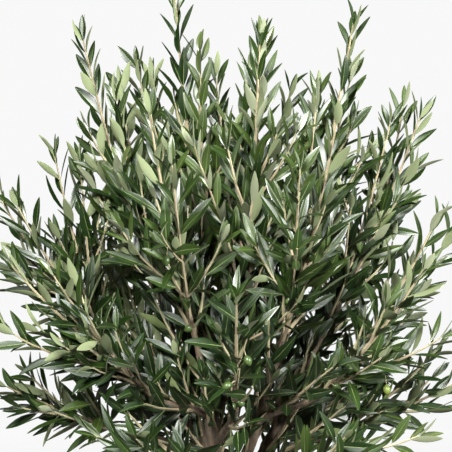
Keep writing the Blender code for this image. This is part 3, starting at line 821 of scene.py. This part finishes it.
def shoots_of(name):
    """All shoots of a mass: its leader, the pairs of side shoots on that, and the twigs on those."""
    draw = random.Random(name)
    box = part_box("foliage_" + name)
    leader = leading_shoot(name, some_tint(draw, name))
    shoots = [leader]
    pairs = 1 + round(leader.length * (SIDE_SHOOTS_TO - SIDE_SHOOTS_FROM) / SIDE_SHOOT_SPACING)
    fullness = FULLNESS.get(name, HIGH_FULLNESS if CROWN[name][2] > HIGH_OVER else 1.0)
    for pair in range(pairs):
        share = SIDE_SHOOTS_FROM + (SIDE_SHOOTS_TO - SIDE_SHOOTS_FROM) * pair / (pairs - 1)
        for side in range(2):
            turn = math.pi * side + math.pi / 2 * pair + draw.uniform(-0.35, 0.35)
            angle = SIDE_SHOOT_ANGLE * draw.uniform(0.8, 1.2)
            length = leader.length * (1 - share) * SIDE_SHOOT_LENGTH * fullness * draw.uniform(0.75, 1.3)
            length = max(length, SHORTEST_SHOOT)
            distance = leader.length * share + draw.uniform(0, 0.012)
            made = side_shoot(draw, leader, distance, turn, angle, length, 1, some_tint(draw, name), box)
            if made:
                shoots.append(made)
                shoots.extend(twigs_of(draw, made, box))
    for mass, leaves_at, pixel, depth in LONG_SHOOTS:
        if mass == name:
            start, way = leader.at(leaves_at * leader.length)
            tip = seen_place(pixel, depth)
            toward = (tip - start).normalized()
            end_way = (toward + Vector((0, 0, 0.25))).normalized()
            count = round((tip - start).length / SHOOT_STEP)
            points = [
                hermite(start, (toward * 2 + way * 0.5).normalized(), tip, end_way, step / count)
                for step in range(count + 1)
            ]
            made = Shoot(points, SHOOT_RADIUS, SHOOT_TIP_RADIUS, 1, some_tint(draw, name))
            shoots.append(made)
            shoots.extend(twigs_of(draw, made, box))
    return shoots


def twigs_of(draw, shoot, box):
    """Short twigs on the lower half of a long side shoot."""
    made = []
    if shoot.length < TWIGS_ON_OVER:
        return made
    pairs = max(1, round(shoot.length * 0.5 / TWIG_SPACING))
    for pair in range(pairs):
        distance = shoot.length * (0.14 + 0.5 * pair / pairs)
        for side in range(2):
            turn = math.pi * side + math.pi / 2 * pair + draw.uniform(-0.4, 0.4)
            length = (shoot.length - distance) * TWIG_LENGTH * draw.uniform(0.7, 1.3)
            twig = side_shoot(draw, shoot, distance, turn, TWIG_ANGLE, length, 2, shoot.tint, box)
            if twig:
                made.append(twig)
    return made


def inner_shoots(name):
    """Leafy shoots on the outer part of a bough, which fill the crown's inside. Their darkest tint is painted shade."""
    crown_box = (Vector((-0.45, -0.45, FORK + 0.03)), Vector((0.45, 0.45, FORK + 0.9)))
    draw = random.Random("inner " + name)
    points, radii = bough_line(name, 24)
    bough = Shoot(points, radii[0], radii[-1], 0, 0)
    made = []
    pairs = round(bough.length * (INNER_TO - INNER_FROM) / INNER_SPACING)
    for pair in range(pairs):
        distance = bough.length * (INNER_FROM + (INNER_TO - INNER_FROM) * pair / pairs)
        for side in range(2):
            turn = math.pi * side + math.pi / 2 * pair + draw.uniform(-0.5, 0.5)
            length = INNER_LENGTH * draw.uniform(0.6, 1.4)
            angle = SIDE_SHOOT_ANGLE * draw.uniform(1.0, 1.5)
            # Tint 0 gives their leaves the darkest upper and under tints, as painted shade inside the crown
            shoot = side_shoot(draw, bough, distance, turn, angle, length, 1, 0, crown_box)
            if shoot:
                made.append(shoot)
    return made


def limb_segments():
    """All limbs as straight pieces: starts, ends and radii."""
    shares = [index / 11 for index in range(12)]
    lines = [([trunk_point(share) for share in shares], [trunk_radius(share) for share in shares])]
    lines += [bough_line(name, 12) for name in CROWN]
    starts, ends, thick = [], [], []
    for points, radii in lines:
        for index in range(len(points) - 1):
            starts.append(points[index])
            ends.append(points[index + 1])
            thick.append(max(radii[index], radii[index + 1]))
    return np.array(starts), np.array(ends), np.array(thick)


def clear_of_limbs(places, segments, margin):
    """Which places keep a margin to every limb's surface."""
    clear = np.ones(len(places), bool)
    for start, end, thick in zip(*segments):
        along = end - start
        share = np.clip((places - start) @ along / (along @ along), 0, 1)
        distance = np.linalg.norm(places - start - share[:, None] * along, axis=1)
        clear &= distance > thick + margin
    return clear


def clear_of_sights(places, seen, radius, around):
    """Which places neither hide a seen one from the camera, within a radius, nor lie around it."""
    camera = np.array(camera_place())
    clear = np.ones(len(places), bool)
    for middle in seen:
        sight = np.array(middle) - camera
        share = np.clip((places - camera) @ sight / (sight @ sight), 0, 1)
        aside = np.linalg.norm(places - camera - share[:, None] * sight, axis=1)
        away = np.linalg.norm(places - np.array(middle), axis=1)
        clear &= ((aside > radius) | (share >= 1)) & (away > around)
    return clear


# Leaves


def blade_half_width(share):
    """Half of a leaf's width at a share of its length, as a share of its full width."""
    if share < PETIOLE_END:
        return PETIOLE_HALF_WIDTH
    blade = (share - PETIOLE_END) / (1 - PETIOLE_END)
    bulge = math.sin(math.pi * blade**BLADE_SKEW) ** BLADE_POINTED
    return PETIOLE_HALF_WIDTH + (0.5 - PETIOLE_HALF_WIDTH) * bulge


def leaf_template():
    """A leaf's corners as (along, across, height) shares, and its faces: upper, rib and under.

    Each station has the left edge, the middle of the left half, both sides of the midrib, the middle of
    the right half, the right edge and the back of the midrib.
    """
    corners = [(0.0, 0.0, 0.0)]
    for share in LEAF_STATIONS:
        half = blade_half_width(share)
        rib = min(RIB_HALF_WIDTH * (1.25 - share), 0.5 * half)
        thick = LEAF_THICKNESS if share > PETIOLE_END else 0.06
        middle = 0.5 * (half + rib)
        puffed = LEAF_PUFF * (half - rib)
        corners += [(share, -half, 0.0), (share, -middle, puffed), (share, -rib, 0.0)]
        corners += [(share, rib, 0.0), (share, middle, puffed), (share, half, 0.0)]
        corners.append((share, 0.0, -thick))
    corners.append((1.0, 0.0, 0.0))
    tip = len(corners) - 1
    faces, kinds = [], []
    # Faces on both sides of an edge are cut alike, so the upper side stays over the under side
    sides = (("upper", 0), ("upper", 0), ("rib", 0), ("upper", 1), ("upper", 1), ("under", 0), ("under", 1))
    columns = len(sides)
    for column, (side, cut) in enumerate(sides):
        following = (column + 1) % columns
        faces.append((0, 1 + following, 1 + column))
        kinds.append("rib")
        for station in range(len(LEAF_STATIONS) - 1):
            low = 1 + columns * station
            high = low + columns
            square = (low + column, low + following, high + following, high + column)
            if cut:
                square = square[1:] + square[:1]
            faces += [(square[0], square[1], square[2]), (square[0], square[2], square[3])]
            kinds += ["rib" if LEAF_STATIONS[station] < PETIOLE_END else side] * 2
        last = tip - columns
        faces.append((last + column, last + following, tip))
        kinds.append(side)
    return np.array(corners), np.array(faces), kinds


def unit(rows):
    return rows / np.maximum(np.linalg.norm(rows, axis=1), 1e-9)[:, None]


class Leaves:
    """Every leaf of a group of masses, one row each."""

    def __init__(self):
        self.rows = []

    def add(self, root, way, face, length, width, tint):
        self.rows.append((*root, *way, *face, length, width, tint))

    def kept(self, segments, olives):
        """The rows whose leaves stay clear of the limbs and hide neither a shown olive nor a shown bough."""
        rows = np.array(self.rows)
        root, way, length = rows[:, 0:3], rows[:, 3:6], rows[:, 9:10]
        clear = np.ones(len(rows), bool)
        boughs = [seen_place(pixel, 0.0) for pixel in SHOWN_BOUGHS]
        for share in (0.15, 0.35, 0.6, 0.85, 1.0):
            places = root + way * length * share
            clear &= clear_of_limbs(places, segments, LIMB_MARGIN)
            clear &= clear_of_sights(places, olives, SIGHT_RADIUS, OLIVE_CLEARANCE)
            clear &= clear_of_sights(places, boughs, BOUGH_SIGHT_RADIUS, 0.0)
        return rows[clear]

    def make(self, name, segments, olives, seed, materials):
        rows = self.kept(segments, olives)
        draw = np.random.default_rng(seed)
        root, way, face = rows[:, 0:3], unit(rows[:, 3:6]), rows[:, 6:9]
        length, width, tint = rows[:, 9], rows[:, 10], rows[:, 11].astype(int)
        across = unit(np.cross(face, way))
        up = np.cross(way, across)
        corners, faces, kinds = leaf_template()
        count = len(rows)
        fold = draw.uniform(0.15, 0.55, count)
        droop = draw.normal(0.07, 0.09, count)
        sway = draw.normal(0.0, 0.03, count)
        twist = draw.normal(0.0, 0.35, count)
        along, side, height = corners.T
        turn = twist[:, None] * along
        side_x = width[:, None] * side * np.cos(turn)
        side_z = width[:, None] * side * np.sin(turn)
        lift = width[:, None] * (fold[:, None] * np.abs(side) + height)
        lift = lift + side_z - droop[:, None] * length[:, None] * along**2
        side_x = side_x + sway[:, None] * length[:, None] * along**2
        run = length[:, None] * along
        places = (
            root[:, None, :]
            + run[:, :, None] * way[:, None, :]
            + side_x[:, :, None] * across[:, None, :]
            + lift[:, :, None] * up[:, None, :]
        )
        offsets = np.arange(count)[:, None, None] * len(corners)
        piece = Piece()
        piece.add_mixed(places, [((faces + offsets).reshape(-1, 3), leaf_kinds(kinds, tint))])
        return piece.make(name, materials, 62)


def leaf_kinds(kinds, tint):
    """Material numbers of every leaf's faces. Upper sides come first, then under sides, then ribs."""
    uppers, unders = len(UPPER_TINTS), len(UNDER_TINTS)
    under = uppers + np.minimum((tint + 1) // 2, unders - 1)
    columns = {"upper": tint, "under": under, "rib": np.full(len(tint), uppers + unders)}
    return np.stack([columns[kind] for kind in kinds], axis=1).ravel()


def add_leaf_pair(leaves, draw, root, way, turn, angle, size, tint, inward):
    """Two opposite leaves. Inward tells how far their upper sides turn to the shoot, not up and out."""
    for side in range(2):
        leaf_angle = angle * draw.uniform(0.75, 1.25)
        leaf_way = side_way(way, turn + math.pi * side + draw.uniform(-0.3, 0.3), leaf_angle)
        face = (way - leaf_way * way.dot(leaf_way)).normalized() * inward
        face += Vector((0, 0, 0.4)) + Vector((root.x, root.y - LIT_FROM, 0.0)).normalized() * 1.0
        face += Vector((draw.gauss(0, 1), draw.gauss(0, 1), draw.gauss(0, 1))) * 0.62
        stretch = size * draw.uniform(0.85, 1.18)
        width = LEAF_WIDTH * (0.15 + 0.85 * size) * draw.uniform(0.8, 1.2)
        leaves.add(root, leaf_way, face, LEAF_LENGTH * stretch, width, tint)


def add_leaves(leaves, draw, shoot, spread):
    """Opposite pairs up a shoot, each a quarter turn from the last. They grow smaller and closer at its tip."""
    distance = FIRST_LEAF if shoot.order else 0.16 * shoot.length
    turn = draw.uniform(0, math.pi)
    while distance < shoot.length - 0.004:
        share = distance / shoot.length
        size = 1.0 - LEAF_SHRINK * share**3
        if shoot.order and distance < 0.05:
            size *= 0.85
        angle = spread * (LEAF_ANGLE_LOW + (LEAF_ANGLE_TIP - LEAF_ANGLE_LOW) * share)
        root, way = shoot.at(distance)
        tint = min(shoot.tint + (1 if share > 0.85 else 0), len(UPPER_TINTS) - 1)
        add_leaf_pair(leaves, draw, root, way, turn, angle, size, tint, 0.45 + 0.75 * share**6)
        turn += math.pi / 2
        distance += LEAF_SPACING * (1.0 - LEAF_CROWDING * share**3) * draw.uniform(0.85, 1.15)
    tip, way = shoot.at(shoot.length)
    tint = min(shoot.tint + 1, len(UPPER_TINTS) - 1)
    add_leaf_pair(leaves, draw, tip - way * 0.002, way, turn, TIP_PAIR_ANGLE, TIP_PAIR_SIZE, tint, 1.5)


# Olives


def shown_olive(shoots, pixel):
    """Where a shown olive's stalk leaves a shoot just over it, as near the viewer as may be, and its middle."""
    hang = OLIVE_STALK + 0.5 * OLIVE_LENGTH
    best = None
    for shoot in shoots:
        for root in shoot.points:
            middle = seen_place(pixel, root.y)
            away = math.hypot(root.x - middle.x, root.z - middle.z - hang)
            score = root.y + 14.0 * away
            if best is None or score < best[0]:
                best = (score, root, middle)
    return best[1:]


def add_olive(piece, root, middle, kind):
    """A stalk and the olive that hangs from it."""
    hang = (middle - root).normalized()
    foot = middle - hang * (0.5 * OLIVE_LENGTH)
    add_tube(piece, [root, root.lerp(foot, 0.5) + Vector((0, 0, 0.001)), foot], [0.0009] * 3, 5, 2)
    shares = [index / OLIVE_RINGS for index in range(OLIVE_RINGS + 1)]
    points = [foot + hang * (OLIVE_LENGTH * (share - 0.03)) for share in shares]
    radii = [
        OLIVE_RADIUS * max(0.04, math.sin(math.pi * (0.03 + 0.94 * share)) ** 0.62) * (1.04 - 0.08 * share)
        for share in shares
    ]
    add_tube(piece, points, radii, OLIVE_SIDES, kind)


def make_olives(shoots, stalk_bark):
    """All olives. Returns the middles of those that show from the front."""
    piece = Piece()
    shown = []
    every_shoot = [shoot for name in CROWN for shoot in shoots[name]]
    for pixel, ripe in SHOWN_OLIVES:
        root, middle = shown_olive(every_shoot, pixel)
        add_olive(piece, root, middle, int(ripe))
        shown.append(middle)
    for name, count in FRUITING.items():
        draw = random.Random("olives " + name)
        sides = [shoot for shoot in shoots[name] if shoot.order == 1]
        for shoot in sides[:count]:
            root, way = shoot.at(shoot.length * draw.uniform(0.25, 0.5))
            hang = side_way(way, draw.uniform(-2.4, -0.7), math.radians(70)) + Vector((0, 0, -1.1))
            middle = root + hang.normalized() * (OLIVE_STALK + 0.5 * OLIVE_LENGTH)
            add_olive(piece, root, middle, 0)
    skins = [
        olive_skin("olive_green", *GREEN_OLIVE_COLOURS),
        olive_skin("olive_ripening", *RIPE_OLIVE_COLOURS),
    ]
    finished(piece.make("olives", skins + [stalk_bark], 50), "leaves")
    return shown


# Pieces


def finished(piece, slot, *nodes):
    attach(piece, "root")
    if nodes:
        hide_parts(*nodes)
    return piece


def shoot_kinds(shoot):
    """A bark for each stretch of a shoot: old at a leader's foot, young near any shoot's tip."""
    stretches = len(shoot.points) - 1
    shares = (np.arange(stretches) + 0.5) / stretches
    young = np.array(shoot.lengths[1:]) > shoot.length - 0.06
    return np.where(young, 2, 1) if shoot.order else np.where(shares < 0.35, 0, 1)


def make_foliage():
    uppers = [leaf_upper(number) for number in range(len(UPPER_TINTS))]
    unders = [leaf_under(number) for number in range(len(UNDER_TINTS))]
    leaf_materials = uppers + unders + [leaf_rib()]
    twig_materials = [twig_bark(number) for number in range(len(TWIG_TINTS))]
    shoots = {name: shoots_of(name) + inner_shoots(name) for name in CROWN}
    olives = make_olives(shoots, twig_materials[1])
    segments = limb_segments()
    for seed, (group, names) in enumerate(GROUPS.items()):
        leaves, twigs = Leaves(), Piece()
        for name in names:
            draw = random.Random("leaves " + name)
            spread = LOW_LEAF_SPREAD + (HIGH_LEAF_SPREAD - LOW_LEAF_SPREAD) * CROWN[name][2]
            for shoot in shoots[name]:
                add_tube(twigs, shoot.points, shoot.radii, SHOOT_SIDES, shoot_kinds(shoot))
                add_leaves(leaves, draw, shoot, spread)
        leaf_piece = leaves.make("leaves_" + group, segments, olives, seed, leaf_materials)
        finished(leaf_piece, "leaves", *["foliage_" + name for name in names])
        finished(twigs.make("twigs_" + group, twig_materials, 50), "bark")


def bark_relief(centre_of, depth):
    """A relief for a limb: furrows along it, lumps across it and fine cracks."""

    def relief(index, angles):
        found = np.empty(len(angles))
        centre = centre_of(index)
        for place, angle in enumerate(angles):
            spoke = Vector((math.cos(angle), math.sin(angle), 0.0))
            furrow = noise.noise(Vector((spoke.x * 3.0, spoke.y * 3.0, centre.z * 22.0 + 9.0)))
            cracks = noise.noise(Vector((spoke.x * 9.0, spoke.y * 9.0, centre.z * 60.0)))
            lumps = noise.noise(Vector((spoke.x * 1.1, spoke.y * 1.1, centre.z * 9.0 + centre.x * 30.0)))
            found[place] = 1.0 + depth * (0.55 * furrow + 0.30 * cracks + 0.8 * lumps)
        return found

    return relief


def make_trunk():
    rings, sides = 190, 72
    shares = [(index / (rings - 1)) ** 1.25 for index in range(rings)]
    points = [trunk_point(share) for share in shares]
    radii = [trunk_radius(share) for share in shares]
    bark_grain = bark_relief(lambda index: points[index], 0.085)

    def relief(index, angles):
        flare = math.exp(-shares[index] * CLEAR_STEM / LOBE_HEIGHT)
        lobes = FLARE_LOBE_DEPTH * flare * np.cos(FLARE_LOBES * angles)
        oval = OVAL_DEPTH * np.cos(2 * angles + OVAL_TWIST * shares[index])
        ribs = RIB_DEPTH * np.cos(3 * angles - RIB_TWIST * shares[index])
        return bark_grain(index, angles) + lobes + oval + ribs

    dome = 12
    head = points[-1]
    for step in range(1, dome + 1):
        bend = math.radians(88 * step / dome)
        points.append(head + Vector((0, 0, HEAD_HEIGHT * FORK_RADIUS * math.sin(bend))))
        radii.append(FORK_RADIUS * math.cos(bend))
        shares.append(1.0)
    piece = Piece()
    add_tube(piece, points, radii, sides, 0, relief)
    finished(piece.make("trunk_bark", [bark()], 80), "bark", "trunk")


def make_boughs():
    piece = Piece()
    for name in CROWN:
        points, radii = bough_line(name, 44)
        add_tube(piece, points, radii, 16, 0, bark_relief(lambda index: points[index], 0.10))
    nodes = ["bough_" + name for name in CROWN]
    finished(piece.make("boughs_bark", [bark()], 80), "bark", *nodes)


def turned_corners(profile, sides, shape):
    """Corners of a turned form. Shape(radius, height, angles) gives each corner's radius and height."""
    angles = np.arange(sides) * (2 * math.pi / sides)
    rings = []
    for radius, height in profile:
        radii, heights = shape(radius, height, angles)
        rings.append(np.stack([radii * np.cos(angles), radii * np.sin(angles), heights + 0 * angles], axis=1))
    return np.concatenate(rings)


def pot_radius(height):
    return POT_BASE_RADIUS + (POT_RIM_RADIUS - POT_BASE_RADIUS) * height / POT_HEIGHT


def stretch(first, last, count):
    """Points from first up to but without last, evenly spaced."""
    return [
        tuple(a + (b - a) * index / count for a, b in zip(first, last)) for index in range(count)
    ]


def pot_profile():
    band_foot = POT_HEIGHT - BAND_HEIGHT
    under_band = (pot_radius(band_foot), band_foot)
    band_low = (pot_radius(band_foot) + BAND_PROUD, band_foot + 0.5 * BAND_PROUD)
    rolled = [
        (
            POT_RIM_RADIUS + BAND_PROUD - BAND_ROLL * (1 - math.cos(math.radians(angle))),
            POT_HEIGHT - BAND_ROLL * (1 - math.sin(math.radians(angle))),
        )
        for angle in range(0, 91, 10)
    ]
    inside_top = (POT_RIM_RADIUS - POT_WALL + POT_EDGE, POT_HEIGHT)
    inside_edge = (pot_radius(POT_HEIGHT - POT_EDGE) - POT_WALL, POT_HEIGHT - POT_EDGE)
    inside_foot = (pot_radius(POT_FLOOR) - POT_WALL, POT_FLOOR)
    profile = stretch((0.001, 0.0), (POT_BASE_RADIUS - POT_EDGE, 0.0), 6)
    profile += stretch((POT_BASE_RADIUS - POT_EDGE, 0.0), (pot_radius(POT_EDGE), POT_EDGE), 3)
    profile += stretch((pot_radius(POT_EDGE), POT_EDGE), under_band, 46)
    profile += stretch(under_band, band_low, 4)
    profile += stretch(band_low, rolled[0], 8)
    profile += rolled
    profile += stretch(rolled[-1], inside_top, 3)
    profile += stretch(inside_top, inside_edge, 3)
    profile += stretch(inside_edge, inside_foot, 12)
    profile += stretch(inside_foot, (0.001, POT_FLOOR), 6)
    profile.append((0.001, POT_FLOOR))
    return profile


def make_pot():
    sides = 160
    profile = pot_profile()

    def shape(radius, height, angles):
        outer = radius > 0.1
        wheel = 0.00035 * math.sin(height * 420.0) + 0.0003 * math.sin(height * 173.0 + 1.0)
        hand = 0.0006 * np.cos(2 * angles + 0.6) + 0.0004 * np.cos(5 * angles + height * 9.0)
        return radius + (wheel + hand if outer else 0.0), height

    corners = turned_corners(profile, sides, shape)
    piece = Piece()
    piece.add_mixed(corners, [(tube_faces(len(profile), sides), 0)])
    finished(piece.make("clay_pot", [clay()], 40), "clay", "pot")


def make_soil():
    rings, sides = 70, 180
    outer = pot_radius(SOIL_TOP) - POT_WALL - 1.5 * GAP
    foot = POT_FLOOR + GAP
    profile = [(outer * (index + 0.02) / rings, SOIL_TOP) for index in range(rings)]
    profile += [(outer, SOIL_TOP - 0.002), (pot_radius(foot) - POT_WALL - 1.5 * GAP, foot), (0.001, foot)]
    profile.reverse()

    def shape(radius, height, angles):
        if height < SOIL_TOP - 0.01:
            return radius, height
        lumps = np.empty(len(angles))
        for place, angle in enumerate(angles):
            spot = Vector((radius * math.cos(angle), radius * math.sin(angle), 0.0))
            coarse = noise.noise(spot * 42.0)
            crumbs = noise.noise(spot * 150.0)
            fine = noise.noise(spot * 420.0)
            lumps[place] = 0.0030 * coarse + 0.0022 * crumbs + 0.0010 * fine
        bank = 0.007 * math.exp(-((radius / 0.075) ** 4))
        return radius, height - 0.002 + lumps + bank

    corners = turned_corners(profile, sides, shape)
    piece = Piece()
    piece.add_mixed(corners, [(tube_faces(len(profile), sides), 0)])
    finished(piece.make("soil_crumbs", [earth()], 75), "soil", "soil")


# Studio


def area_light(name, place, target, size, power, colour):
    light = bpy.data.lights.new(name, "AREA")
    light.shape = "DISK"
    light.size = size
    light.energy = power
    light.color = colour
    lamp = bpy.data.objects.new(name, light)
    lamp.location = place
    lamp.rotation_euler = (Vector(target) - Vector(place)).to_track_quat("-Z", "Y").to_euler()
    bpy.context.scene.collection.objects.link(lamp)
    return lamp


def make_studio():
    world = bpy.data.worlds.new("studio")
    world.use_nodes = True
    tree = world.node_tree
    seen = tree.nodes["Background"]
    seen.inputs["Color"].default_value = (*WALL_COLOUR, 1.0)
    light = tree.nodes.new("ShaderNodeBackground")
    light.inputs["Color"].default_value = (0.92, 1.0, 0.76, 1.0)
    place = tree.nodes.new("ShaderNodeTexCoord")
    direction = tree.nodes.new("ShaderNodeSeparateXYZ")
    tree.links.new(place.outputs["Generated"], direction.inputs[0])
    strength = tree.nodes.new("ShaderNodeMapRange")
    strength.interpolation_type = "SMOOTHSTEP"
    strength.inputs["From Min"].default_value = -0.1
    strength.inputs["From Max"].default_value = 0.9
    strength.inputs["To Min"].default_value = LOW_SKY
    strength.inputs["To Max"].default_value = HIGH_SKY
    tree.links.new(direction.outputs["Z"], strength.inputs["Value"])
    path = tree.nodes.new("ShaderNodeLightPath")
    mix = tree.nodes.new("ShaderNodeMixShader")
    tree.links.new(strength.outputs[0], light.inputs["Strength"])
    tree.links.new(path.outputs["Is Camera Ray"], mix.inputs[0])
    tree.links.new(light.outputs[0], mix.inputs[1])
    tree.links.new(seen.outputs[0], mix.inputs[2])
    tree.links.new(mix.outputs[0], tree.nodes["World Output"].inputs["Surface"])
    bpy.context.scene.world = world
    bpy.context.scene.view_settings.view_transform = "Standard"
    aim = (0.0, 0.0, FORK + 0.4)
    area_light("key", (-0.8, -3.4, 3.1), aim, 1.2, 478.0, (1.0, 1.0, 0.98))
    area_light("fill", (2.8, -2.5, 2.0), aim, 1.3, 385.0, (1.0, 1.0, 1.0))
    # The light from behind gives no gleams, which would glint on leaves seen edge on
    back = area_light("back", (-0.7, 3.4, 2.1), aim, 3.0, 270.0, (1.0, 1.0, 1.0))
    back.visible_glossy = False


def make_floor():
    angles = np.linspace(0, 2 * math.pi, 97)[:-1]
    corners = [(FLOOR_RADIUS * math.cos(angle), FLOOR_RADIUS * math.sin(angle), 0.0) for angle in angles]
    mesh = bpy.data.meshes.new("floor")
    mesh.from_pydata(corners, [], [tuple(range(len(corners)))])
    floor = bpy.data.objects.new("floor", mesh)
    bpy.context.scene.collection.objects.link(floor)
    nodes = Nodes("floor", (FLOOR_GREY,) * 3, 0.8)
    nodes.shader.inputs["Emission Color"].default_value = (*WALL_COLOUR, 1.0)
    seen = nodes.node("ShaderNodeLightPath")
    spread = nodes.stretched(*(1.0 / FLOOR_RADIUS,) * 3)
    near = nodes.node("ShaderNodeTexGradient", {"gradient_type": "SPHERICAL"}, {"Vector": spread})
    glow = nodes.node("ShaderNodeMath", {"operation": "MULTIPLY"})
    nodes.tree.links.new(nodes.range(near.outputs["Fac"], 1.0, FLOOR_GLOW_NEAR), glow.inputs[0])
    nodes.tree.links.new(seen.outputs["Is Camera Ray"], glow.inputs[1])
    nodes.set("Emission Strength", glow.outputs[0])
    nodes.set("Roughness", nodes.range(nodes.noise(4.0), 0.7, 0.9))
    mesh.materials.append(nodes.material)


def make_camera():
    data = bpy.data.cameras.new("camera")
    data.sensor_width = SENSOR
    data.lens = SENSOR * PHOTO_PIXELS_PER_METRE * CAMERA_DISTANCE / PHOTO_SIDE
    camera = bpy.data.objects.new("camera", data)
    camera.location = camera_place()
    camera.rotation_euler = (math.pi / 2, 0.0, 0.0)
    bpy.context.scene.collection.objects.link(camera)
    bpy.context.scene.camera = camera


make_camera()
make_pot()
make_soil()
make_trunk()
make_boughs()
make_foliage()
make_studio()
make_floor()
bpy.context.view_layer.update()
